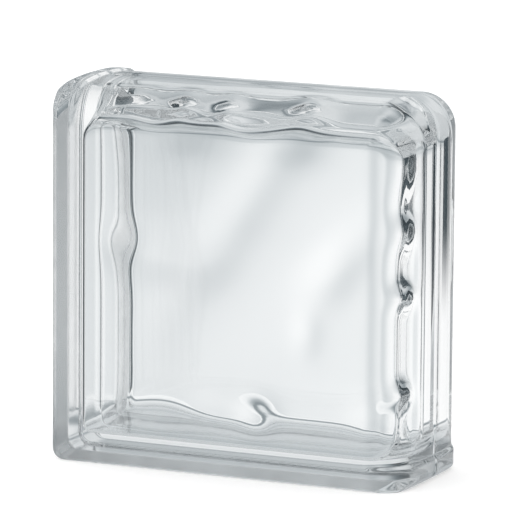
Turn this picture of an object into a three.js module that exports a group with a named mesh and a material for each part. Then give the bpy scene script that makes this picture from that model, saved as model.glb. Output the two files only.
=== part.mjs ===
// A wave-pattern glass block with two finished sides, for the free corner of a wall or parapet.
// Two half shells are pressed from clear glass and fused along their rims at mid thickness, which
// leaves a sealed air space between them. The top and right sides are finished: crowned, smooth and
// joined by a round corner. The left and bottom sides take mortar: a channel runs along them between
// the flanges of the two halves, and a collar closes each end of it.
//
// Millimetres. +X to the right, +Z up, the front face towards -Y. The origin is at the middle of
// the base, and the plane y = 0 is the seam.

import * as THREE from 'three';
import { mergeVertices } from 'three/addons/utils/BufferGeometryUtils.js';

// Overall size, over the flanges.
const WIDTH = 190;
const HEIGHT = 190;
const THICKNESS = 80;

// Outer form of the finished sides.
const CROWN = 4.6; // how far a finished side falls from the seam to the face
const FINISHED_EDGE_RADIUS = 16; // between a finished side and the face
const FINISHED_CORNER_RADIUS = 19; // round corner of the two finished sides, at the seam
const SEAM_LIP_DEPTH = 1.2; // the rounded lips of the two rims leave a groove this deep
const SEAM_LIP_WIDTH = 2.6; // from the seam to the end of a lip
const LIP_MIDDLE = 0.35; // share of that width at which the round of a lip is cut once more

// Flanges of the mortar sides, and the collars that carry them round the finished sides.
const FLANGE_THICKNESS = 8; // from the face to the side of the channel
const FLANGE_EDGE_RADIUS = 2.5; // between a flange and the face
const FLANGE_CORNER_RADIUS = 6; // where the two mortar sides meet
const COLLAR_WIDTH = 11; // along the finished side
const COLLAR_HEIGHT = 1.3; // above the finished side
const COLLAR_STEP_WIDTH = 2; // over which it falls to the finished side
const STEP_MIDDLE = 0.4; // share of that width at which it has fallen by half
const COLLAR_CORNER_RADIUS = 6.5; // between a mortar side and a finished side

// Mortar channel.
const CHANNEL_DEPTH = 4;
const CHANNEL_FLANK = 9; // the flank leans over this much of the thickness
const CHANNEL_END_WALL = 9; // glass left between the channel and a finished side
const CHANNEL_END_LEAN = 3;

// Hollow of each shell.
const WALL = 7; // glass between the hollow and the right side, at the seam
const TOP_WALL = 14; // glass between the hollow and the top, at the seam
const CHANNEL_WALL = 8.6; // glass between the hollow and the channel, at the seam
const WALL_DRAFT = 0.05; // the wall thickens by this much for each millimetre from the rim
const FACE_THICKNESS = 8.5; // from the face to the hollow, between the swells
const HOLLOW_CORNER_RADIUS = 12; // of the three corners that touch a finished side
const HOLLOW_LOW_CORNER_RADIUS = 6; // where the two mortar sides meet
const HOLLOW_FILLET = 6; // between a finished wall and the bottom of the hollow
const HOLLOW_LOW_FILLET = 2.5; // the same on the mortar sides
const BACK_SHIFT_X = -3.2; // the back hollow stands a little to the left of the front one
const BACK_SHIFT_Z = 1.2; // and a little higher
const SHIFT_REACH = 12; // depth below the seam over which each hollow leans to meet the other

// The wave pattern, pressed into the inner side of each face: smooth swells of thicker glass.
// Each has its middle, from the middle of the block, its reach along and across its heading, and
// its height. A negative height is a dip.
const FRONT_SWELLS = [
  { x: -38, z: -68, along: 13, across: 8, heading: 0, height: 0.9 },
  { x: -3, z: -59, along: 12, across: 6, heading: 0, height: 0.8 },
  { x: 14, z: -64, along: 7, across: 7, heading: 0, height: 1.5 },
  { x: 85, z: -59, along: 11, across: 7, heading: 0, height: 1.5 },
  { x: -60, z: 17, along: 6, across: 7, heading: 0, height: 1.0 },
  { x: -56, z: 84, along: 14, across: 6, heading: 90, height: 0.9 },
  { x: -26, z: 75, along: 13, across: 8, heading: 0, height: 1.4 },
  { x: 31, z: 75, along: 11, across: 8, heading: 0, height: 1.6 },
  { x: 8, z: 40, along: 44, across: 8, heading: 56, height: 0.7 },
  { x: 54, z: 8, along: 15, across: 8, heading: 55, height: 1.1 },
  { x: 66, z: 24, along: 26, across: 7, heading: 37, height: 0.4 },
  { x: 41, z: -21, along: 8, across: 5, heading: 90, height: 0.6 },
  { x: -34, z: 10, along: 18, across: 9, heading: 0, height: 1.1 },
];
const BACK_SWELLS = [
  { x: -80, z: 60, along: 60, across: 24, heading: 50, height: 1.5 },
  { x: -45, z: -5, along: 40, across: 12, heading: 50, height: 0.4 },
  { x: 60, z: 10, along: 60, across: 24, heading: 50, height: 0.8 },
  { x: 0, z: -40, along: 40, across: 12, heading: 20, height: 0.4 },
];

// Fineness of the facets.
const FINISHED_CORNER_STEPS = 10;
const SMALL_CORNER_STEPS = 5;
const EDGE_STEPS = 6; // round the edge of a face, and round a fillet
const FLANGE_EDGE_STEPS = 2;
const CROWN_STEPS = 5;
const WALL_STEPS = 3;
const HOLLOW_SIDE_STEPS = 22; // along one side of the hollow
const FLOOR_RINGS = 17;
const CLOSEST_SECTIONS = 0.4; // sections of the outside nearer to each other than this become one

const SMALLEST_RADIUS = 0.6; // left of a round corner where an edge has eaten it up

const HALF_THICKNESS = THICKNESS / 2;
const HALF_WIDTH = WIDTH / 2;
const HALF_HEIGHT = HEIGHT / 2;

// How far a rounded edge of the given radius has come in at a distance from the seam.
function edgeInset(distance, radius) {
  const along = Math.max(0, distance - (HALF_THICKNESS - radius));
  return radius - Math.sqrt(Math.max(0, radius * radius - along * along));
}

// How far the rounded lip of the rim has come in at a distance from the seam.
function lipInset(distance) {
  const along = Math.max(0, 1 - distance / SEAM_LIP_WIDTH);
  return SEAM_LIP_DEPTH * (1 - Math.sqrt(1 - along * along));
}

// How far the crown of a finished side has fallen at a distance from the seam.
function crownInset(distance) {
  const past = Math.max(0, distance - SEAM_LIP_WIDTH);
  return CROWN * (past / (HALF_THICKNESS - SEAM_LIP_WIDTH)) ** 2;
}

function finishedInset(distance) {
  return crownInset(distance) + edgeInset(distance, FINISHED_EDGE_RADIUS) + lipInset(distance);
}

function flangeInset(distance) {
  return edgeInset(distance, FLANGE_EDGE_RADIUS) + lipInset(distance);
}

// Depth of the mortar channel, from none on the flange to full past its flank.
function channelDepth(distance) {
  const past = (HALF_THICKNESS - FLANGE_THICKNESS - distance) / CHANNEL_FLANK;
  return CHANNEL_DEPTH * THREE.MathUtils.clamp(past, 0, 1);
}

// Distances from the seam at which the outside is cut into sections.
function outerStations() {
  const channelEdge = HALF_THICKNESS - FLANGE_THICKNESS;
  const edgeStart = HALF_THICKNESS - FINISHED_EDGE_RADIUS;
  const flangeEdgeStart = HALF_THICKNESS - FLANGE_EDGE_RADIUS;
  const stations = [0, SEAM_LIP_WIDTH * LIP_MIDDLE, SEAM_LIP_WIDTH];
  stations.push(channelEdge - CHANNEL_FLANK, channelEdge);
  for (let i = 1; i < CROWN_STEPS; i += 1) {
    stations.push(THREE.MathUtils.lerp(SEAM_LIP_WIDTH, edgeStart, i / CROWN_STEPS));
  }
  for (let i = 0; i <= EDGE_STEPS; i += 1) {
    stations.push(edgeStart + FINISHED_EDGE_RADIUS * Math.sin((i / EDGE_STEPS) * (Math.PI / 2)));
  }
  for (let i = 0; i < FLANGE_EDGE_STEPS; i += 1) {
    const turn = (i / FLANGE_EDGE_STEPS) * (Math.PI / 2);
    stations.push(flangeEdgeStart + FLANGE_EDGE_RADIUS * Math.sin(turn));
  }
  stations.sort((p, q) => p - q);
  const last = stations.length - 1;
  const isKept = (value, i) => i === 0 || i === last || stations[i + 1] - value > CLOSEST_SECTIONS;
  return stations.filter(isKept);
}

// The points of a round corner that turns a quarter to the left, up to the given heading in degrees.
function roundCorner(cornerX, cornerZ, radius, endHeading, steps) {
  const end = THREE.MathUtils.degToRad(endHeading - 90);
  const start = end - Math.PI / 2;
  const centreX = cornerX - radius * (Math.cos(start) + Math.cos(end));
  const centreZ = cornerZ - radius * (Math.sin(start) + Math.sin(end));
  return new THREE.EllipseCurve(centreX, centreZ, radius, radius, start, end).getPoints(steps);
}

// The outline of the outside at a distance from the seam, anticlockwise with +X right and +Z up.
function outerOutline(distance) {
  const finished = finishedInset(distance);
  const flange = flangeInset(distance);
  const channel = channelDepth(distance);
  const shrink = (radius, inset) => Math.max(SMALLEST_RADIUS, radius - inset);
  const point = (x, z) => new THREE.Vector2(x, z);

  const collarX = HALF_WIDTH - finished;
  const collarZ = HALF_HEIGHT - finished;
  const sideX = collarX - COLLAR_HEIGHT;
  const sideZ = collarZ - COLLAR_HEIGHT;
  const leftX = -HALF_WIDTH + flange;
  const bottomZ = -HALF_HEIGHT + flange;
  const collarEndX = -HALF_WIDTH + COLLAR_WIDTH;
  const collarEndZ = -HALF_HEIGHT + COLLAR_WIDTH;
  const channelEndX = collarX - CHANNEL_END_WALL;
  const channelEndZ = collarZ - CHANNEL_END_WALL;
  const collarRadius = shrink(COLLAR_CORNER_RADIUS, finished);
  const flangeRadius = shrink(FLANGE_CORNER_RADIUS, flange);
  const sideRadius = shrink(FINISHED_CORNER_RADIUS, finished);

  return [
    ...roundCorner(leftX + channel, bottomZ + channel, flangeRadius, 360, SMALL_CORNER_STEPS),
    point(channelEndX - CHANNEL_END_LEAN, bottomZ + channel),
    point(channelEndX, bottomZ),
    ...roundCorner(collarX, bottomZ, collarRadius, 90, SMALL_CORNER_STEPS),
    point(collarX, collarEndZ),
    point(collarX - COLLAR_HEIGHT / 2, collarEndZ + COLLAR_STEP_WIDTH * STEP_MIDDLE),
    point(sideX, collarEndZ + COLLAR_STEP_WIDTH),
    ...roundCorner(sideX, sideZ, sideRadius, 180, FINISHED_CORNER_STEPS),
    point(collarEndX + COLLAR_STEP_WIDTH, sideZ),
    point(collarEndX + COLLAR_STEP_WIDTH * STEP_MIDDLE, collarZ - COLLAR_HEIGHT / 2),
    point(collarEndX, collarZ),
    ...roundCorner(leftX, collarZ, collarRadius, 270, SMALL_CORNER_STEPS),
    point(leftX, channelEndZ),
    point(leftX + channel, channelEndZ - CHANNEL_END_LEAN),
  ];
}

// The outline of the hollow, brought in from its rim by one inset on the finished sides and another
// on the mortar sides. Its finished sides also follow the crown, and the whole outline is shifted.
function hollowOutline(highInset, lowInset, crown, shift) {
  const right = HALF_WIDTH - COLLAR_HEIGHT - WALL - highInset - crown + shift.x;
  const top = HALF_HEIGHT - COLLAR_HEIGHT - TOP_WALL - highInset - crown + shift.y;
  const left = -HALF_WIDTH + CHANNEL_DEPTH + CHANNEL_WALL + lowInset + shift.x;
  const bottom = -HALF_HEIGHT + CHANNEL_DEPTH + CHANNEL_WALL + lowInset + shift.y;
  const radius = Math.max(SMALLEST_RADIUS, HOLLOW_CORNER_RADIUS - highInset);
  const lowRadius = Math.max(SMALLEST_RADIUS, HOLLOW_LOW_CORNER_RADIUS - lowInset);
  const corners = [
    roundCorner(right, bottom, radius, 90, SMALL_CORNER_STEPS),
    roundCorner(right, top, radius, 180, SMALL_CORNER_STEPS),
    roundCorner(left, top, radius, 270, SMALL_CORNER_STEPS),
    roundCorner(left, bottom, lowRadius, 360, SMALL_CORNER_STEPS),
  ];
  const points = [];
  corners.forEach((corner, i) => {
    const from = corner[corner.length - 1];
    const to = corners[(i + 1) % corners.length][0];
    points.push(...corner);
    for (let step = 1; step < HOLLOW_SIDE_STEPS; step += 1) {
      points.push(from.clone().lerp(to, step / HOLLOW_SIDE_STEPS));
    }
  });
  return points;
}

// The radius of the fillet at each point of a hollow outline: large on the finished sides, small on
// the mortar sides, and between the two round the corners where they meet.
function filletRadii() {
  const cornerPoints = SMALL_CORNER_STEPS + 1;
  const between = 2 * (HOLLOW_SIDE_STEPS - 1) + cornerPoints;
  const radiusAt = (share) => THREE.MathUtils.lerp(HOLLOW_LOW_FILLET, HOLLOW_FILLET, share);
  const growing = Array.from({ length: cornerPoints }, (_, i) => radiusAt(i / SMALL_CORNER_STEPS));
  const large = new Array(between).fill(HOLLOW_FILLET);
  const small = new Array(between).fill(HOLLOW_LOW_FILLET);
  return [...growing, ...large, ...growing.slice().reverse(), ...small];
}

// How far a hollow stands from the place of the front one, at a depth below the seam. At the seam
// the front and the back hollow meet half way.
function hollowShift(isBack, depth) {
  const leaning = Math.min(1, depth / SHIFT_REACH) / 2;
  const share = isBack ? 0.5 + leaning : 0.5 - leaning;
  return new THREE.Vector2(BACK_SHIFT_X, BACK_SHIFT_Z).multiplyScalar(share);
}

// Height of the swells at a place of a face, towards the air space.
function swellHeight(swells, x, z) {
  let total = 0;
  for (const swell of swells) {
    const heading = THREE.MathUtils.degToRad(swell.heading);
    const right = x - swell.x;
    const up = z - swell.z;
    const along = (right * Math.cos(heading) + up * Math.sin(heading)) / swell.along;
    const across = (up * Math.cos(heading) - right * Math.sin(heading)) / swell.across;
    total += swell.height * Math.exp(-(along * along + across * across) / 2);
  }
  return total;
}

// A closed surface gathered from rings of points, each ring anticlockwise with +X right and +Z up.
class Skin {
  constructor() {
    this.positions = [];
    this.indices = [];
  }

  addRing(points) {
    const first = this.positions.length / 3;
    for (const point of points) this.positions.push(point.x, point.y, point.z);
    return points.map((_, i) => first + i);
  }

  // Joins a ring to one nearer -Y, or further from the middle, as the outside of a solid.
  join(ring, next) {
    ring.forEach((start, i) => {
      const j = (i + 1) % ring.length;
      this.indices.push(start, ring[j], next[j]);
      this.indices.push(start, next[j], next[i]);
    });
  }

  // Closes a ring on a point in its middle, looking towards +Y.
  closeOnPoint(ring, point) {
    const [middle] = this.addRing([point]);
    ring.forEach((start, i) => this.indices.push(middle, ring[(i + 1) % ring.length], start));
  }

  // Fills a ring with a flat face that looks towards -Y.
  fill(ring, outline) {
    for (const [a, b, c] of THREE.ShapeUtils.triangulateShape(outline, [])) {
      this.indices.push(ring[a], ring[b], ring[c]);
    }
  }

  // Fills between two rings with a flat face that looks towards +Y.
  fillBetween(ring, outline, innerRing, innerOutline) {
    const every = [...ring, ...innerRing];
    for (const [a, b, c] of THREE.ShapeUtils.triangulateShape(outline, [innerOutline])) {
      this.indices.push(every[a], every[c], every[b]);
    }
  }

  turnInsideOut() {
    for (let i = 0; i < this.indices.length; i += 3) {
      const first = this.indices[i];
      this.indices[i] = this.indices[i + 1];
      this.indices[i + 1] = first;
    }
  }

  geometry() {
    const geometry = new THREE.BufferGeometry();
    geometry.setAttribute('position', new THREE.Float32BufferAttribute(this.positions, 3));
    geometry.setIndex(this.indices);
    return mergeVertices(geometry, 1e-4);
  }
}

// The levels of the hollow from its rim to the bottom: each has its outline, its share of the way
// down, and how far each of its points still is above the bottom.
function hollowLevels(isBack) {
  const levels = [];
  const fillets = filletRadii();
  const highDepth = HALF_THICKNESS - FACE_THICKNESS - HOLLOW_FILLET;
  const lowDepth = HALF_THICKNESS - FACE_THICKNESS - HOLLOW_LOW_FILLET;
  const draft = { high: WALL_DRAFT * highDepth, low: WALL_DRAFT * lowDepth };
  for (let i = 0; i <= WALL_STEPS; i += 1) {
    const share = i / WALL_STEPS;
    const depth = highDepth * share;
    const shift = hollowShift(isBack, depth);
    const outline = hollowOutline(draft.high * share, draft.low * share, crownInset(depth), shift);
    levels.push({ outline, share, above: fillets });
  }
  const crown = crownInset(highDepth);
  const shift = hollowShift(isBack, highDepth);
  for (let i = 1; i <= EDGE_STEPS; i += 1) {
    const turn = (i / EDGE_STEPS) * (Math.PI / 2);
    const highInset = draft.high + HOLLOW_FILLET * (1 - Math.cos(turn));
    const lowInset = draft.low + HOLLOW_LOW_FILLET * (1 - Math.cos(turn));
    const outline = hollowOutline(highInset, lowInset, crown, shift);
    levels.push({ outline, share: 1, above: fillets.map((radius) => radius * (1 - Math.sin(turn))) });
  }
  return levels;
}

// One half shell: the front one is a pan that opens towards +Y, and the back one opens towards -Y.
function shellGeometry(swells, isBack) {
  const skin = new Skin();
  const place = (point, distance) => new THREE.Vector3(point.x, isBack ? distance : -distance, point.y);
  const bottomDistance = ({ x, y }) => HALF_THICKNESS - FACE_THICKNESS - swellHeight(swells, x, y);

  // Outside, from the rim to the face.
  const sections = outerStations().map((distance) => {
    const outline = outerOutline(distance);
    return { outline, ring: skin.addRing(outline.map((p) => place(p, distance))) };
  });
  for (let k = 1; k < sections.length; k += 1) skin.join(sections[k - 1].ring, sections[k].ring);
  const face = sections[sections.length - 1];
  skin.fill(face.ring, face.outline);

  // Hollow, from the rim down the wall and round the fillet to the bottom.
  const levels = hollowLevels(isBack).map(({ outline, share, above }) => {
    const ring = skin.addRing(outline.map((p, i) => place(p, (bottomDistance(p) - above[i]) * share)));
    return { outline, ring };
  });
  for (let k = 1; k < levels.length; k += 1) skin.join(levels[k].ring, levels[k - 1].ring);

  // Rim, where the other half is fused on.
  skin.fillBetween(sections[0].ring, sections[0].outline, levels[0].ring, levels[0].outline);

  // Bottom with the swells, in rings that close on the middle.
  const edge = levels[levels.length - 1];
  const middle = new THREE.Vector2();
  edge.outline.forEach((point) => middle.addScaledVector(point, 1 / edge.outline.length));
  let outer = edge.ring;
  for (let k = 1; k < FLOOR_RINGS; k += 1) {
    const outline = edge.outline.map((point) => point.clone().lerp(middle, k / FLOOR_RINGS));
    const ring = skin.addRing(outline.map((p) => place(p, bottomDistance(p))));
    skin.join(ring, outer);
    outer = ring;
  }
  skin.closeOnPoint(outer, place(middle, bottomDistance(middle)));

  if (isBack) skin.turnInsideOut();
  return skin.geometry();
}

function clearGlass() {
  return new THREE.MeshStandardMaterial({
    color: 0xdfe8ea,
    roughness: 0.03,
    metalness: 0,
    transparent: true,
    opacity: 0.35,
  });
}

function halfShell(name, swells, isBack) {
  const mesh = new THREE.Mesh(shellGeometry(swells, isBack), clearGlass());
  mesh.name = name;
  mesh.position.z = HALF_HEIGHT;
  return mesh;
}

const glassBlock = new THREE.Group();
glassBlock.add(halfShell('front_shell', FRONT_SWELLS, false));
glassBlock.add(halfShell('back_shell', BACK_SWELLS, true));

export default glassBlock;
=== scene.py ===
"""Looks of a wave-pattern glass block with two finished sides.

Both half shells are shown as one piece of fused glass, because light doesn't stop at the fused seam:
a closed outside, and the closed skin of the air space inside it. Sizes are in millimetres, as in the
part's source, and become metres where a mesh is made.
"""

import math

import bpy
import numpy as np
from mathutils import Matrix, Vector


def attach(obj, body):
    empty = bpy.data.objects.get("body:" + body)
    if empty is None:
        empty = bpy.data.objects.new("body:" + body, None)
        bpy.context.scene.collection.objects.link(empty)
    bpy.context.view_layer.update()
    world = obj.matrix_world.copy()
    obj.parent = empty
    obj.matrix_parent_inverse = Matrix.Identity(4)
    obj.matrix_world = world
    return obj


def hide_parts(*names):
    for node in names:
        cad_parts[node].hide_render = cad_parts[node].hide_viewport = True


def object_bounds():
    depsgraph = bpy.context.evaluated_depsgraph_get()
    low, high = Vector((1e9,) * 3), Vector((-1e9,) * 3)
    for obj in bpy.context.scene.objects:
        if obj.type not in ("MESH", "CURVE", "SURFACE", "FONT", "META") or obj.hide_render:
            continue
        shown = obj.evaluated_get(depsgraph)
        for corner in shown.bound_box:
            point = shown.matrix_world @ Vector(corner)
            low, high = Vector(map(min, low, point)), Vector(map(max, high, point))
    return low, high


MM = 0.001

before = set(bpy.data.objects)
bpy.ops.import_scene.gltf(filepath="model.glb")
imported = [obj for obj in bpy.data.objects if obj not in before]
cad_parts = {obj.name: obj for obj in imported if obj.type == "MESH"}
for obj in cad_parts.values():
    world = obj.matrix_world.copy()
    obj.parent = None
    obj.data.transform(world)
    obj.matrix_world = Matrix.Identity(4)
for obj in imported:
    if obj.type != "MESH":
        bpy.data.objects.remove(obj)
cad_lo, cad_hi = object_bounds()

# Overall size, from the frame.
WIDTH, THICKNESS, HEIGHT = ((cad_hi - cad_lo) / MM)
HALF_WIDTH, HALF_THICKNESS, HALF_HEIGHT = WIDTH / 2, THICKNESS / 2, HEIGHT / 2

# Outer form of the finished sides.
CROWN = 4.6
FINISHED_EDGE_RADIUS = 16.0
FINISHED_CORNER_RADIUS = 19.0
SEAM_LIP_DEPTH = 1.2
SEAM_LIP_WIDTH = 2.6

# Flanges and collars.
FLANGE_THICKNESS = 8.0
FLANGE_EDGE_RADIUS = 2.5
FLANGE_CORNER_RADIUS = 6.0
COLLAR_WIDTH = 11.0
COLLAR_HEIGHT = 1.3
COLLAR_STEP_WIDTH = 2.0
COLLAR_CORNER_RADIUS = 6.5

# Mortar channel.
CHANNEL_DEPTH = 4.0
CHANNEL_FLANK = 9.0
CHANNEL_END_WALL = 9.0
CHANNEL_END_LEAN = 3.0
CHANNEL_SOFTNESS = 0.12  # share of the flank that is rounded at each of its edges

# Hollow.
WALL = 7.0
TOP_WALL = 14.0
CHANNEL_WALL = 8.6
WALL_DRAFT = 0.05
FACE_THICKNESS = 8.5
HOLLOW_CORNER_RADIUS = 12.0
HOLLOW_LOW_CORNER_RADIUS = 6.0
HOLLOW_FILLET = 6.0
HOLLOW_LOW_FILLET = 2.5
BACK_HOLLOW_SHIFT = (-3.2, 1.2)  # the back hollow stands a little to the left of the front one, and higher
SHIFT_REACH = 12.0  # over which each hollow leans toward the other, near the seam

# Swells pressed into the inner faces, which are otherwise flat. Each is a smooth mound of thicker glass:
# its middle from the middle of the block, its reach along and across its heading, and its height.
FRONT_SWELLS = (
    dict(x=-38, z=-68, along=13, across=8, heading=0, height=0.9),
    dict(x=-3, z=-59, along=12, across=6, heading=0, height=0.8),
    dict(x=14, z=-64, along=7, across=7, heading=0, height=1.5),
    dict(x=85, z=-59, along=11, across=7, heading=0, height=1.5),
    dict(x=-60, z=17, along=6, across=7, heading=0, height=1.0),
    dict(x=-56, z=84, along=14, across=6, heading=90, height=0.9),
    dict(x=-26, z=75, along=13, across=8, heading=0, height=1.4),
    dict(x=31, z=75, along=11, across=8, heading=0, height=1.6),
    dict(x=8, z=40, along=44, across=8, heading=56, height=0.7),
    dict(x=54, z=8, along=15, across=8, heading=55, height=1.1),
    dict(x=66, z=24, along=26, across=7, heading=37, height=0.4),
    dict(x=41, z=-21, along=8, across=5, heading=90, height=0.6),
    dict(x=-34, z=10, along=18, across=9, heading=0, height=1.1),
)
BACK_SWELLS = (
    dict(x=-80, z=60, along=60, across=24, heading=50, height=1.5),
    dict(x=-45, z=-5, along=40, across=12, heading=50, height=0.4),
    dict(x=60, z=10, along=60, across=24, heading=50, height=0.8),
    dict(x=0, z=-40, along=40, across=12, heading=20, height=0.4),
)

# Relief of the hollow's finished walls, which only the looks have: swells stand out into the air space, and
# dents, with a negative height, go into the glass. Each has its place along the wall, from the middle of the
# block, its distance from the seam toward the front, its reach along and across, and its height.
TOP_WALL_SWELLS = (
    dict(at=-58, front=21, along=8, across=6, height=-0.8),
    dict(at=-31, front=20, along=5, across=5, height=-1.2),
    dict(at=-7, front=20, along=5, across=5, height=-0.9),
    dict(at=35, front=19, along=7, across=6, height=-1.4),
    dict(at=-40, front=28, along=10, across=5, height=1.0),
    dict(at=8, front=28, along=10, across=5, height=1.2),
    dict(at=-86, front=-31, along=7, across=5, height=-2.5),
    dict(at=-25, front=-31, along=8, across=5, height=-3.0),
    dict(at=25, front=-31, along=7, across=5, height=-2.5),
    dict(at=60, front=-31, along=16, across=5, height=-3.0),
    dict(at=10, front=-14, along=14, across=8, height=-0.8),
)
RIGHT_WALL_SWELLS = (
    dict(at=0, front=27, along=90, across=5, height=0.5),
    dict(at=64, front=26, along=12, across=5, height=-2.0),
    dict(at=31, front=26, along=6, across=5, height=-2.0),
    dict(at=-1, front=26, along=4, across=5, height=-2.0),
    dict(at=-49, front=26, along=4, across=4, height=-1.8),
)
WALL_BAND = 10.0  # width beside a finished wall over which its relief fades out

SMALLEST_RADIUS = 0.6  # left of a round corner where an edge has eaten it up


# ---- the outside ----

def edge_inset(distance, radius):
    along = max(0.0, distance - (HALF_THICKNESS - radius))
    return radius - math.sqrt(max(0.0, radius * radius - along * along))


def lip_inset(distance):
    along = max(0.0, 1 - distance / SEAM_LIP_WIDTH)
    return SEAM_LIP_DEPTH * (1 - math.sqrt(max(0.0, 1 - along * along)))


def crown_inset(distance):
    past = max(0.0, distance - SEAM_LIP_WIDTH)
    return CROWN * (past / (HALF_THICKNESS - SEAM_LIP_WIDTH)) ** 2


def finished_inset(distance):
    return crown_inset(distance) + edge_inset(distance, FINISHED_EDGE_RADIUS) + lip_inset(distance)


def flange_inset(distance):
    return edge_inset(distance, FLANGE_EDGE_RADIUS) + lip_inset(distance)


def soft_ramp(share, softness):
    """A ramp from 0 to 1 whose two ends are rounded."""
    if share <= -softness:
        return 0.0
    if share < softness:
        return (share + softness) ** 2 / (4 * softness)
    if share <= 1 - softness:
        return share
    return 1 - soft_ramp(1 - share, softness)


def channel_depth(distance):
    past = (HALF_THICKNESS - FLANGE_THICKNESS - distance) / CHANNEL_FLANK
    return CHANNEL_DEPTH * soft_ramp(past, CHANNEL_SOFTNESS)


def outer_stations():
    """Distances from the seam at which the outside is cut into sections."""
    flank_end = HALF_THICKNESS - FLANGE_THICKNESS
    flank_start = flank_end - CHANNEL_FLANK
    edge_start = HALF_THICKNESS - FINISHED_EDGE_RADIUS
    flange_edge_start = HALF_THICKNESS - FLANGE_EDGE_RADIUS
    stations = []
    stations += [SEAM_LIP_WIDTH * (1 - math.cos(t)) for t in np.linspace(0, math.pi / 2, 9)]
    stations += list(np.linspace(SEAM_LIP_WIDTH, flank_start - 1, 10))
    stations += list(np.linspace(flank_start - 1, flank_end + 1, 17))
    stations += [
        edge_start + FINISHED_EDGE_RADIUS * math.sin(t) for t in np.linspace(0, math.pi / 2, 24)
    ]
    stations += [
        flange_edge_start + FLANGE_EDGE_RADIUS * math.sin(t) for t in np.linspace(0, math.pi / 2, 9)
    ]
    stations = sorted(stations)
    kept = [stations[0]]
    for s in stations[1:]:
        if s - kept[-1] > 0.03:
            kept.append(s)
    kept[-1] = HALF_THICKNESS
    return kept


def round_corner(corner, radius, end_heading, steps):
    """Points of a round corner that turns a quarter to the left."""
    end = math.radians(end_heading - 90)
    start = end - math.pi / 2
    turn = np.linspace(start, end, steps + 1)
    centre_x = corner[0] - radius * (math.cos(start) + math.cos(end))
    centre_z = corner[1] - radius * (math.sin(start) + math.sin(end))
    return np.stack([centre_x + radius * np.cos(turn), centre_z + radius * np.sin(turn)], 1)


def bend(before, corner, after, reach, steps):
    """Points of a small corner, rounded over the given reach to each side."""
    before, corner, after = map(np.array, (before, corner, after))
    start = corner + (before - corner) * reach / np.linalg.norm(before - corner)
    end = corner + (after - corner) * reach / np.linalg.norm(after - corner)
    t = np.linspace(0, 1, steps + 1)[:, None]
    return (1 - t) ** 2 * start + 2 * t * (1 - t) * corner + t**2 * end


def run(start, end, steps):
    """Points between two others, without the two."""
    t = np.linspace(0, 1, steps + 1)[1:-1, None]
    return np.array(start) * (1 - t) + np.array(end) * t


RUN_STEPS = 60
CORNER_STEPS = 24
SMALL_STEPS = 8


def outer_parts(distance):
    """The outline at a distance from the seam, as runs and corners; it starts at the mortar sides' corner."""
    finished, flange = finished_inset(distance), flange_inset(distance)
    channel = channel_depth(distance)
    collar_x, collar_z = HALF_WIDTH - finished, HALF_HEIGHT - finished
    side_x, side_z = collar_x - COLLAR_HEIGHT, collar_z - COLLAR_HEIGHT
    left_x, bottom_z = -HALF_WIDTH + flange, -HALF_HEIGHT + flange
    collar_end_x, collar_end_z = -HALF_WIDTH + COLLAR_WIDTH, -HALF_HEIGHT + COLLAR_WIDTH
    channel_end_x, channel_end_z = collar_x - CHANNEL_END_WALL, collar_z - CHANNEL_END_WALL
    collar_radius = max(SMALLEST_RADIUS, COLLAR_CORNER_RADIUS - finished)
    flange_radius = max(SMALLEST_RADIUS, FLANGE_CORNER_RADIUS - flange)
    side_radius = max(SMALLEST_RADIUS, FINISHED_CORNER_RADIUS - finished)

    low_corner = round_corner((left_x + channel, bottom_z + channel), flange_radius, 360, SMALL_STEPS)
    inner_end = (channel_end_x - CHANNEL_END_LEAN, bottom_z + channel)
    outer_end = (channel_end_x, bottom_z)
    collar_corner = round_corner((collar_x, bottom_z), collar_radius, 90, SMALL_STEPS)
    step_low = (collar_x, collar_end_z)
    step_high = (side_x, collar_end_z + COLLAR_STEP_WIDTH)
    side_corner = round_corner((side_x, side_z), side_radius, 180, CORNER_STEPS)
    top_step_high = (collar_end_x + COLLAR_STEP_WIDTH, side_z)
    top_step_low = (collar_end_x, collar_z)
    top_corner = round_corner((left_x, collar_z), collar_radius, 270, SMALL_STEPS)
    left_outer_end = (left_x, channel_end_z)
    left_inner_end = (left_x + channel, channel_end_z - CHANNEL_END_LEAN)

    parts = []

    def corner(before, at, after, reach=0.9):
        parts.append(bend(before, at, after, reach, 5))

    def straight(to, steps):
        parts.append(run(parts[-1][-1], to, steps))

    parts.append(low_corner)
    straight(inner_end, RUN_STEPS)
    parts[-1] = parts[-1][:-1]
    corner(low_corner[-1], inner_end, outer_end, 1.2)
    corner(inner_end, outer_end, collar_corner[0], 0.6)
    parts.append(collar_corner)
    straight(step_low, 4)
    corner(collar_corner[-1], step_low, step_high, 0.7)
    corner(step_low, step_high, side_corner[0], 0.7)
    straight(side_corner[0], RUN_STEPS)
    parts.append(side_corner)
    straight(top_step_high, RUN_STEPS)
    parts[-1] = parts[-1][:-1]
    corner(side_corner[-1], top_step_high, top_step_low, 0.7)
    corner(top_step_high, top_step_low, top_corner[0], 0.7)
    straight(top_corner[0], 4)
    parts.append(top_corner)
    corner(top_corner[-1], left_outer_end, left_inner_end, 0.6)
    corner(left_outer_end, left_inner_end, low_corner[0], 1.2)
    straight(low_corner[0], RUN_STEPS)
    return parts


def outer_outline(distance):
    return np.vstack(outer_parts(distance))


def mortar_points():
    """For each point of the outline, whether it is between the two ends of the mortar channel."""
    parts = outer_parts(0.0)
    last = len(parts) - 1
    return np.concatenate([np.full(len(part), k in (0, 1, last)) for k, part in enumerate(parts)])


# ---- the hollow ----

HOLLOW_RUN_STEPS = 56
HOLLOW_CORNER_STEPS = 10
HOLLOW_WALL_LEVELS = 13
HOLLOW_FILLET_LEVELS = 15


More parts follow.
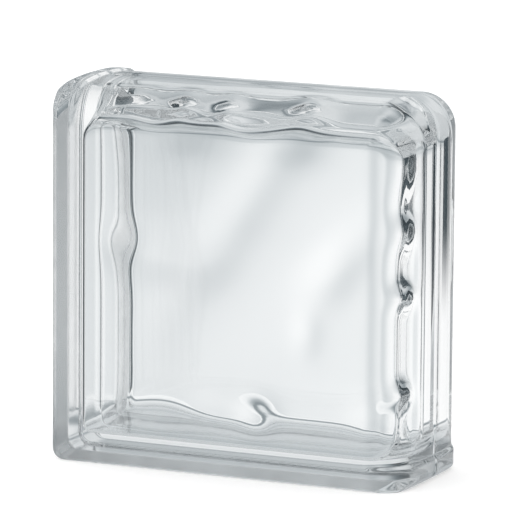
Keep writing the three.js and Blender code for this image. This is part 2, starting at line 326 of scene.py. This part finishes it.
def hollow_outline(high_inset, low_inset, crown, shift):
    right = HALF_WIDTH - COLLAR_HEIGHT - WALL - high_inset - crown + shift[0]
    top = HALF_HEIGHT - COLLAR_HEIGHT - TOP_WALL - high_inset - crown + shift[1]
    left = -HALF_WIDTH + CHANNEL_DEPTH + CHANNEL_WALL + low_inset + shift[0]
    bottom = -HALF_HEIGHT + CHANNEL_DEPTH + CHANNEL_WALL + low_inset + shift[1]
    radius = max(SMALLEST_RADIUS, HOLLOW_CORNER_RADIUS - high_inset)
    low_radius = max(SMALLEST_RADIUS, HOLLOW_LOW_CORNER_RADIUS - low_inset)
    corners = [
        round_corner((right, bottom), radius, 90, HOLLOW_CORNER_STEPS),
        round_corner((right, top), radius, 180, HOLLOW_CORNER_STEPS),
        round_corner((left, top), radius, 270, HOLLOW_CORNER_STEPS),
        round_corner((left, bottom), low_radius, 360, HOLLOW_CORNER_STEPS),
    ]
    parts = []
    for i, points in enumerate(corners):
        parts.append(points)
        parts.append(run(points[-1], corners[(i + 1) % 4][0], HOLLOW_RUN_STEPS))
    return np.vstack(parts)


def wall_height(swells, at, front):
    height = np.zeros_like(at)
    for s in swells:
        along, across = (at - s["at"]) / s["along"], (front - s["front"]) / s["across"]
        height += s["height"] * np.exp(-(along**2 + across**2) / 2)
    return height


def swollen(outline, y):
    """A hollow outline at the given y, with the relief of its two finished walls."""
    x, z = outline[:, 0], outline[:, 1]
    y = np.broadcast_to(y, x.shape)
    near_top = np.clip((z - z.max() + WALL_BAND) / WALL_BAND, 0, 1)
    near_right = np.clip((x - x.max() + WALL_BAND) / WALL_BAND, 0, 1)
    return np.stack([
        x - near_right * wall_height(RIGHT_WALL_SWELLS, z, -y),
        z - near_top * wall_height(TOP_WALL_SWELLS, x, -y),
    ], 1)


def high_share():
    """For each point of a hollow outline, 1 on the finished sides and 0 on the mortar sides."""
    corner, side = HOLLOW_CORNER_STEPS + 1, HOLLOW_RUN_STEPS - 1
    rise = np.linspace(0, 1, corner)
    return np.concatenate([
        rise, np.ones(side), np.ones(corner), np.ones(side),
        rise[::-1], np.zeros(side), np.zeros(corner), np.zeros(side),
    ])


def wave_height(swells, x, z):
    height = np.zeros_like(x)
    for s in swells:
        heading = math.radians(s["heading"])
        right, up = x - s["x"], z - s["z"]
        along = (right * math.cos(heading) + up * math.sin(heading)) / s["along"]
        across = (up * math.cos(heading) - right * math.sin(heading)) / s["across"]
        height += s["height"] * np.exp(-(along**2 + across**2) / 2)
    return height


def hollow_shift(side, depth):
    """How far one shell's hollow stands from the front hollow's place, at a depth from the seam."""
    share = (1 + side * min(1.0, depth / SHIFT_REACH)) / 2
    return BACK_HOLLOW_SHIFT[0] * share, BACK_HOLLOW_SHIFT[1] * share


def hollow_levels(side):
    """Outlines from the seam to the face, with their share of the depth and height above the bottom."""
    share_high = high_share()
    fillet = HOLLOW_LOW_FILLET + (HOLLOW_FILLET - HOLLOW_LOW_FILLET) * share_high
    high_depth = HALF_THICKNESS - FACE_THICKNESS - HOLLOW_FILLET
    low_depth = HALF_THICKNESS - FACE_THICKNESS - HOLLOW_LOW_FILLET
    levels = []
    for share in np.linspace(0, 1, HOLLOW_WALL_LEVELS):
        outline = hollow_outline(
            WALL_DRAFT * high_depth * share,
            WALL_DRAFT * low_depth * share,
            crown_inset(high_depth * share),
            hollow_shift(side, high_depth * share),
        )
        levels.append((outline, share, fillet))
    for turn in np.linspace(0, math.pi / 2, HOLLOW_FILLET_LEVELS)[1:]:
        across, drop = 1 - math.cos(turn), 1 - math.sin(turn)
        outline = hollow_outline(
            WALL_DRAFT * high_depth + HOLLOW_FILLET * across,
            WALL_DRAFT * low_depth + HOLLOW_LOW_FILLET * across,
            crown_inset(high_depth),
            hollow_shift(side, high_depth),
        )
        levels.append((outline, 1.0, fillet * drop))
    return levels


# ---- skins ----

class Skin:
    """Rings of points joined into a closed mesh."""

    def __init__(self):
        self.points, self.faces, self.slots, self.count = [], [], [], 0

    def ring(self, points):
        first = self.count
        self.points.append(points)
        self.count += len(points)
        return np.arange(first, self.count)

    def join(self, ring, nxt, slots=None):
        after, after_next = np.roll(ring, -1), np.roll(nxt, -1)
        self.faces += np.stack([ring, after, after_next, nxt], 1).tolist()
        self.slots += [0] * len(ring) if slots is None else slots.tolist()

    def close(self, ring, point):
        middle = self.ring(np.array([point]))[0]
        self.faces += [[int(a), int(b), int(middle)] for a, b in zip(ring, np.roll(ring, -1))]
        self.slots += [0] * len(ring)


def place(outline, y):
    y = np.broadcast_to(y, len(outline))
    return np.stack([outline[:, 0], y, outline[:, 1] + HALF_HEIGHT], 1)


FACE_RINGS = 24
FLOOR_RINGS = 46


def outside_skin():
    """Rings from the middle of the back face, over the sides, to the middle of the front face."""
    skin = Skin()
    stations = outer_stations()
    cuts = [(s, +1) for s in reversed(stations)] + [(s, -1) for s in stations[1:]]
    rings = [skin.ring(place(outer_outline(s), side * s)) for s, side in cuts]
    mortar = mortar_points()
    edge_start = HALF_THICKNESS - FLANGE_EDGE_RADIUS
    channel_end = HALF_THICKNESS - FLANGE_THICKNESS - CHANNEL_FLANK
    for k in range(1, len(rings)):
        from_seam = max(cuts[k - 1][0], cuts[k][0])
        slot = 2 if from_seam <= channel_end else 1 if from_seam <= edge_start else 0
        skin.join(rings[k - 1], rings[k], mortar * slot)
    edge = outer_outline(HALF_THICKNESS)
    middle = edge.mean(0)
    for side, outer in ((-1, rings[-1]), (1, rings[0])):
        for k in range(1, FACE_RINGS):
            share = k / FACE_RINGS
            ring = skin.ring(place(edge * (1 - share) + middle * share, side * HALF_THICKNESS))
            skin.join(*((outer, ring) if side < 0 else (ring, outer)))
            outer = ring
        centre = (middle[0], side * HALF_THICKNESS, middle[1] + HALF_HEIGHT)
        skin.close(outer if side < 0 else outer[::-1], centre)
    return skin


def hollow_skin():
    """The skin of the air space, which faces into it."""
    skin = Skin()
    rim = None
    for side, swells in ((-1, FRONT_SWELLS), (1, BACK_SWELLS)):
        levels = hollow_levels(side)

        def floor(outline):
            wave = wave_height(swells, outline[:, 0], outline[:, 1])
            return HALF_THICKNESS - FACE_THICKNESS - wave

        if rim is None:
            rim = skin.ring(place(swollen(levels[0][0], 0.0), 0.0))
        previous = rim
        edge = swollen(levels[-1][0], side * floor(levels[-1][0]))
        middle = edge.mean(0)
        for outline, share, above in levels[1:]:
            y = side * (floor(outline) - above) * share
            ring = skin.ring(place(swollen(outline, y), y))
            skin.join(*((ring, previous) if side < 0 else (previous, ring)))
            previous = ring
        for k in range(1, FLOOR_RINGS):
            share = k / FLOOR_RINGS
            outline = edge * (1 - share) + middle * share
            ring = skin.ring(place(outline, side * floor(outline)))
            skin.join(*((ring, previous) if side < 0 else (previous, ring)))
            previous = ring
        centre = (middle[0], side * floor(middle[None])[0], middle[1] + HALF_HEIGHT)
        skin.close(previous[::-1] if side < 0 else previous, centre)
    return skin


def glass_piece():
    outside, hollow = outside_skin(), hollow_skin()
    points = np.vstack(outside.points + hollow.points) * MM
    faces = outside.faces + [[v + outside.count for v in f] for f in hollow.faces]
    mesh = bpy.data.meshes.new("glass_block")
    mesh.from_pydata(points.tolist(), [], faces)
    mesh.validate()
    mesh.polygons.foreach_set("use_smooth", [True] * len(mesh.polygons))
    mesh.polygons.foreach_set("material_index", outside.slots + hollow.slots)
    mesh.update()
    piece = bpy.data.objects.new("glass_block", mesh)
    bpy.context.scene.collection.objects.link(piece)
    return piece


# ---- materials ----

class Nodes:
    """A node tree with short ways to add and link nodes."""

    def __init__(self, owner):
        owner.use_nodes = True
        self.tree = owner.node_tree
        self.tree.nodes.clear()

    def add(self, kind, **settings):
        node = self.tree.nodes.new("ShaderNode" + kind)
        for name, value in settings.items():
            setattr(node, name, value)
        return node

    def feed(self, socket, value):
        """Links an output to the socket, or sets the socket to a number or a colour."""
        if isinstance(value, bpy.types.NodeSocket):
            self.tree.links.new(value, socket)
        else:
            socket.default_value = value

    def maths(self, operation, *values, clamp=False):
        node = self.add("Math", operation=operation, use_clamp=clamp)
        for socket, value in zip(node.inputs, values):
            self.feed(socket, value)
        return node.outputs[0]

    def curve(self, value, stops):
        """A smooth curve through pairs of a number and its tone."""
        lowest, highest = stops[0][0], stops[-1][0]
        remap = self.add("MapRange")
        for name, number in (("From Min", lowest), ("From Max", highest)):
            remap.inputs[name].default_value = number
        self.feed(remap.inputs["Value"], value)
        ramp = self.add("ValToRGB")
        ramp.color_ramp.interpolation = "CARDINAL"
        elements = ramp.color_ramp.elements
        while len(elements) < len(stops):
            elements.new(0.5)
        for element, (number, tone) in zip(elements, stops):
            element.position = (number - lowest) / (highest - lowest)
            element.color = (tone / TOP_TONE, tone / TOP_TONE, tone / TOP_TONE, 1)
        self.tree.links.new(remap.outputs[0], ramp.inputs["Fac"])
        return self.maths("MULTIPLY", ramp.outputs["Color"], TOP_TONE)

    def glass_ray(self):
        """1 for a ray that comes from the glass, 0 for the camera's and for light on a matt surface."""
        path = self.add("LightPath")
        either = self.maths("MAXIMUM", path.outputs["Is Glossy Ray"], path.outputs["Is Transmission Ray"])
        return self.maths("MULTIPLY", either, self.maths("LESS_THAN", path.outputs["Diffuse Depth"], 0.5))

    def reflected(self):
        """1 for light that has been reflected on its way, 0 for light that has only gone through."""
        return self.maths("GREATER_THAN", self.add("LightPath").outputs["Glossy Depth"], 0.5)


FLANGE_ROUGHNESS = 0.4  # of the rims and flanks of the mortar sides
CHANNEL_ROUGHNESS = 0.13  # of the bottom of the mortar channel
CLEAR_ROUGHNESS = 0.004  # of the fire-polished glass
UNEVEN = 0.15  # share by which a roughness varies from place to place
TOP_TONE = 2.0  # the brightest tone that a curve can hold
REFRACTIVE_INDEX = 1.5
PALE_TINT = (0.99, 0.995, 0.997, 1)
DEEP_TINT = (0.975, 0.988, 0.991, 1)
TINT_SCALE = 14.0  # patches per metre
ROUGH_SCALE = 90.0
NOISE_LOW, NOISE_HIGH = 0.3, 0.7  # between which nearly all of a noise lies
RIPPLE_SCALE = 160.0
RIPPLE_HEIGHT = 0.000004  # metres, the fine ripple of pressed glass


def glass(name, roughness):
    material = bpy.data.materials.new(name)
    n = Nodes(material)
    place_in_glass = n.add("TexCoord").outputs["Object"]

    def noise(scale, detail):
        texture = n.add("TexNoise")
        n.feed(texture.inputs["Vector"], place_in_glass)
        n.feed(texture.inputs["Scale"], scale)
        n.feed(texture.inputs["Detail"], detail)
        return texture.outputs["Fac"]

    shader = n.add("BsdfPrincipled")
    tint = n.add("Mix", data_type="RGBA")
    n.feed(tint.inputs[0], noise(TINT_SCALE, 2.0))
    n.feed(tint.inputs[6], PALE_TINT)
    n.feed(tint.inputs[7], DEEP_TINT)
    n.feed(shader.inputs["Base Color"], tint.outputs[2])
    uneven = n.add("MapRange")
    n.feed(uneven.inputs["Value"], noise(ROUGH_SCALE, 4.0))
    n.feed(uneven.inputs["From Min"], NOISE_LOW)
    n.feed(uneven.inputs["From Max"], NOISE_HIGH)
    n.feed(uneven.inputs["To Min"], roughness * (1 - UNEVEN))
    n.feed(uneven.inputs["To Max"], roughness * (1 + UNEVEN))
    n.feed(shader.inputs["Roughness"], uneven.outputs["Result"])
    ripple = n.add("Bump")
    n.feed(ripple.inputs["Strength"], 1.0)
    n.feed(ripple.inputs["Distance"], RIPPLE_HEIGHT)
    n.feed(ripple.inputs["Height"], noise(RIPPLE_SCALE, 1.0))
    n.feed(shader.inputs["Normal"], ripple.outputs["Normal"])
    n.feed(shader.inputs["Transmission Weight"], 1.0)
    n.feed(shader.inputs["IOR"], REFRACTIVE_INDEX)
    n.feed(n.add("OutputMaterial").inputs["Surface"], shader.outputs[0])
    return material


# ---- stage ----

FLOOR_REACH = 6.0  # metres
FLOOR_COLOUR = (0.8, 0.8, 0.8, 1)
FLOOR_LIFT = 0.35  # glow that only the camera sees, which makes the floor as pale as the backdrop
# Painted shade and light on the floor close to the block, as the glass sees it: painted shade under the
# block, painted light just beside it, then a painted shadow of its edge; past the last distance the glass
# sees the room in its place.
SEEN_FLOOR = (
    (0.0, 0.6), (0.044, 0.65), (0.05, 0.75), (0.066, 0.8), (0.072, 0.35), (0.088, 0.35), (0.1, 0.9),
    (0.12, 0.95),
)
SEEN_FLOOR_END = 0.11  # metres from the middle plane
SEEN_FLOOR_SIDEWAYS = 0.055  # how much further it reaches sideways


def studio_floor():
    r = FLOOR_REACH
    mesh = bpy.data.meshes.new("floor")
    mesh.from_pydata([(-r, -r, 0), (r, -r, 0), (r, r, 0), (-r, r, 0)], [], [(0, 1, 2, 3)])
    floor = bpy.data.objects.new("floor", mesh)
    bpy.context.scene.collection.objects.link(floor)
    material = bpy.data.materials.new("pale_floor")
    n = Nodes(material)
    paper = n.add("BsdfPrincipled")
    n.feed(paper.inputs["Base Color"], FLOOR_COLOUR)
    n.feed(paper.inputs["Roughness"], 1.0)
    n.feed(paper.inputs["Specular IOR Level"], 0.0)
    n.feed(paper.inputs["Emission Color"], (1, 1, 1, 1))
    glass_ray = n.glass_ray()
    camera_ray = n.add("LightPath").outputs["Is Camera Ray"]
    n.feed(paper.inputs["Emission Strength"], n.maths("MULTIPLY", camera_ray, FLOOR_LIFT))
    at = n.add("SeparateXYZ")
    n.feed(at.inputs[0], n.add("TexCoord").outputs["Object"])
    sideways = n.maths("SUBTRACT", n.maths("ABSOLUTE", at.outputs["X"]), SEEN_FLOOR_SIDEWAYS)
    away = n.maths("MAXIMUM", sideways, n.maths("ABSOLUTE", at.outputs["Y"]))
    # The floor's painted shade and light near the block, an emission that only the glass sees.
    near_tone = n.add("Emission")
    n.feed(near_tone.inputs["Color"], cool(n, n.curve(away, SEEN_FLOOR)))
    through_glass = n.add("MixShader")
    n.feed(through_glass.inputs["Fac"], n.maths("GREATER_THAN", away, SEEN_FLOOR_END))
    n.feed(through_glass.inputs[1], near_tone.outputs[0])
    n.feed(through_glass.inputs[2], n.add("BsdfTransparent").outputs[0])
    either = n.add("MixShader")
    n.feed(either.inputs["Fac"], glass_ray)
    n.feed(either.inputs[1], paper.outputs[0])
    n.feed(either.inputs[2], through_glass.outputs[0])
    n.feed(n.add("OutputMaterial").inputs["Surface"], either.outputs[0])
    mesh.materials.append(material)
    return floor


# What the glass sees around it. Light that has been reflected, on the glass or inside it, comes from a room
# with dark sides; light that has only gone through comes from a pale backdrop all round.
# The tone by compass direction, in degrees from straight behind the block toward its left side.
REFLECTED_ROUND = (
    (-180, 0.9), (-150, 0.9), (-130, 0.35), (-90, 0.25), (-60, 0.45), (-40, 0.9), (0, 1.0), (20, 1.0),
    (30, 0.8), (40, 0.9), (50, 0.3), (60, 0.1), (80, 0.05), (100, 0.05), (130, 0.25), (150, 0.85), (180, 0.9),
)
THROUGH_ROUND = (
    (-180, 0.95), (-90, 0.9), (-60, 0.75), (-40, 0.95), (0, 1.0), (20, 1.0), (30, 0.7), (40, 0.9), (50, 0.15),
    (60, 0.15), (70, 0.85), (180, 0.95),
)
# The share of that tone by height, in degrees above level.
TONE_UP = (
    (-90, 0.8), (-40, 1.0), (-10, 1.0), (-5, 0.75), (0, 0.7), (5, 0.35), (10, 0.5), (15, 0.7), (90, 0.7),
)
# A dark sheet that stands behind the block to the right and paints a dark reflection in it, which only the
# glass sees: its ends, in metres.
BOARD_X = (0.15, 0.27)
BOARD_Y = 0.23
BOARD_Z = (0.03, 0.4)
BOARD_FADE = 0.06  # height over which its lower end fades in
# Tone of the painted dark reflection.
PAINTED_REFLECTION_TONE = 0.08
LEFT_LIGHT = 0.8  # how much brighter than the room the soft light on the left is, for matt surfaces
# Darker tones are cooler: the powers of the tone that red, green and blue take.
COOL = (1.1, 1.0, 0.95)


def cool(n, tone):
    """The colour of a tone: darker tones are cooler."""
    colour = n.add("CombineColor")
    for socket, power in zip(colour.inputs, COOL):
        n.feed(socket, n.maths("POWER", tone, power))
    return colour.outputs[0]


def painted_reflection_board():
    # A painted reflection: an emission sheet that only light reflected by the glass sees, transparent to the
    # camera and to matt surfaces.
    (left, right), (low, high) = BOARD_X, BOARD_Z
    mesh = bpy.data.meshes.new("board")
    corners = ((left, low), (right, low), (right, high), (left, high))
    mesh.from_pydata([(x, BOARD_Y, z) for x, z in corners], [], [(0, 1, 2, 3)])
    board = bpy.data.objects.new("board", mesh)
    bpy.context.scene.collection.objects.link(board)
    material = bpy.data.materials.new("painted_dark_reflection")
    n = Nodes(material)
    dark = n.add("Emission")
    n.feed(dark.inputs["Color"], cool(n, PAINTED_REFLECTION_TONE))
    either = n.add("MixShader")
    at = n.add("SeparateXYZ")
    n.feed(at.inputs[0], n.add("TexCoord").outputs["Object"])
    fade = n.add("MapRange", interpolation_type="SMOOTHSTEP")
    n.feed(fade.inputs["Value"], at.outputs["Z"])
    n.feed(fade.inputs["From Min"], low)
    n.feed(fade.inputs["From Max"], low + BOARD_FADE)
    # Only light reflected by the glass sees the painted reflection.
    seen = n.maths("MULTIPLY", n.glass_ray(), n.reflected())
    n.feed(either.inputs["Fac"], n.maths("MULTIPLY", seen, fade.outputs["Result"]))
    n.feed(either.inputs[1], n.add("BsdfTransparent").outputs[0])
    n.feed(either.inputs[2], dark.outputs[0])
    n.feed(n.add("OutputMaterial").inputs["Surface"], either.outputs[0])
    mesh.materials.append(material)


def studio_world():
    world = bpy.data.worlds.new("studio")
    bpy.context.scene.world = world
    n = Nodes(world)
    direction = n.add("SeparateXYZ")
    n.feed(direction.inputs[0], n.add("TexCoord").outputs["Generated"])
    x, y, z = direction.outputs
    leftward = n.maths("MULTIPLY", x, -1.0)
    compass = n.maths("DEGREES", n.maths("ARCTAN2", leftward, y))
    height = n.maths("DEGREES", n.maths("ARCSINE", z))
    by_path = n.add("Mix", data_type="FLOAT")
    n.feed(by_path.inputs[0], n.reflected())
    n.feed(by_path.inputs[2], n.curve(compass, THROUGH_ROUND))
    n.feed(by_path.inputs[3], n.curve(compass, REFLECTED_ROUND))
    tone = n.maths("MULTIPLY", by_path.outputs[0], n.curve(height, TONE_UP))
    around = n.add("Background")
    n.feed(around.inputs["Color"], cool(n, tone))
    lamp = n.maths("MULTIPLY", n.maths("MAXIMUM", leftward, 0.0), LEFT_LIGHT)
    lamp = n.maths("MULTIPLY", lamp, n.add("LightPath").outputs["Is Diffuse Ray"])
    plain = n.add("Background")
    n.feed(plain.inputs["Color"], (1, 1, 1, 1))
    n.feed(plain.inputs["Strength"], n.maths("ADD", lamp, 1.0))
    mix = n.add("MixShader")
    n.feed(mix.inputs["Fac"], n.glass_ray())
    n.feed(mix.inputs[1], plain.outputs[0])
    n.feed(mix.inputs[2], around.outputs[0])
    n.feed(n.add("OutputWorld").inputs["Surface"], mix.outputs[0])


# ---- camera ----

# The photograph's camera: a long lens, a little above the block and to its right.
CAMERA_YAW = 24.58
CAMERA_PITCH = 9.94
CAMERA_ROLL = -0.44
CAMERA_DISTANCE = 2496.0
FOCAL_PIXELS = 5078.0
PICTURE_PIXELS = 510.0
AIM_RIGHT = 2.7  # mm from the middle of the picture to the middle of the block, at the block
AIM_UP = -8.9
SENSOR = 36.0
CLIP_START, CLIP_END = 0.1, 50.0  # metres


def photo_camera():
    yaw, pitch, roll = map(math.radians, (CAMERA_YAW, CAMERA_PITCH, CAMERA_ROLL))
    level_right = Vector((math.cos(yaw), math.sin(yaw), 0))
    forward = Vector((-math.cos(pitch) * math.sin(yaw), math.cos(pitch) * math.cos(yaw), -math.sin(pitch)))
    level_up = level_right.cross(forward)
    right = level_right * math.cos(roll) - level_up * math.sin(roll)
    up = level_right * math.sin(roll) + level_up * math.cos(roll)
    middle = Vector((0, 0, HALF_HEIGHT))
    place_at = middle - right * AIM_RIGHT - up * AIM_UP - forward * CAMERA_DISTANCE
    data = bpy.data.cameras.new("photo_camera")
    data.sensor_width = SENSOR
    data.lens = FOCAL_PIXELS / PICTURE_PIXELS * SENSOR
    data.clip_start, data.clip_end = CLIP_START, CLIP_END
    camera = bpy.data.objects.new("photo_camera", data)
    axes = Matrix((right, up, -forward)).transposed()
    camera.matrix_world = Matrix.Translation(place_at * MM) @ axes.to_4x4()
    bpy.context.scene.collection.objects.link(camera)
    bpy.context.scene.camera = camera


# ---- the scene ----

# Light is reflected many times inside the glass before it leaves; a lower limit shows as black spots.
MOST_BOUNCES = 44
GLASS_BOUNCES = 36

bpy.context.scene.view_settings.view_transform = "Standard"
bpy.context.scene.cycles.max_bounces = MOST_BOUNCES
bpy.context.scene.cycles.transmission_bounces = GLASS_BOUNCES
bpy.context.scene.cycles.glossy_bounces = GLASS_BOUNCES
photo_camera()
studio_world()
studio_floor()
painted_reflection_board()

block = glass_piece()
block.data.materials.append(glass("clear_glass", CLEAR_ROUGHNESS))
block.data.materials.append(glass("flange_glass", FLANGE_ROUGHNESS))
block.data.materials.append(glass("channel_glass", CHANNEL_ROUGHNESS))
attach(block, "root")
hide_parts("front_shell", "back_shell")
